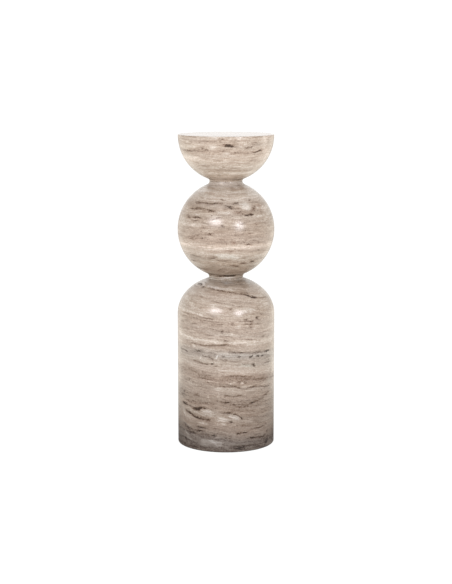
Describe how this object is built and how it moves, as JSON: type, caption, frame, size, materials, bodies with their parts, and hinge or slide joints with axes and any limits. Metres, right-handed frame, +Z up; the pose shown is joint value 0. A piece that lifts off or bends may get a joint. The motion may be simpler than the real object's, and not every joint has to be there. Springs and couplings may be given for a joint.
{
  "type": "decorative column",
  "caption": "Turned stone column of a drum with a domed shoulder, a sphere and a half-sphere with a flat polished top, parted by narrow necks, to stand on a floor as ornament or pedestal.",
  "frame": {"origin": "centre of the foot, on the surface that the column stands on", "axes": "+Z up along the column's axis of turning, -Y towards the picture's viewer, +X to the viewer's right"},
  "size_m": [0.253, 0.253, 0.81],
  "materials": {
    "travertine": "polished, filled travertine with fine level bands"
  },
  "bodies": {
    "root": {"half_sphere_top": "travertine", "sphere": "travertine", "domed_drum": "travertine"}
  },
  "joints": []
}
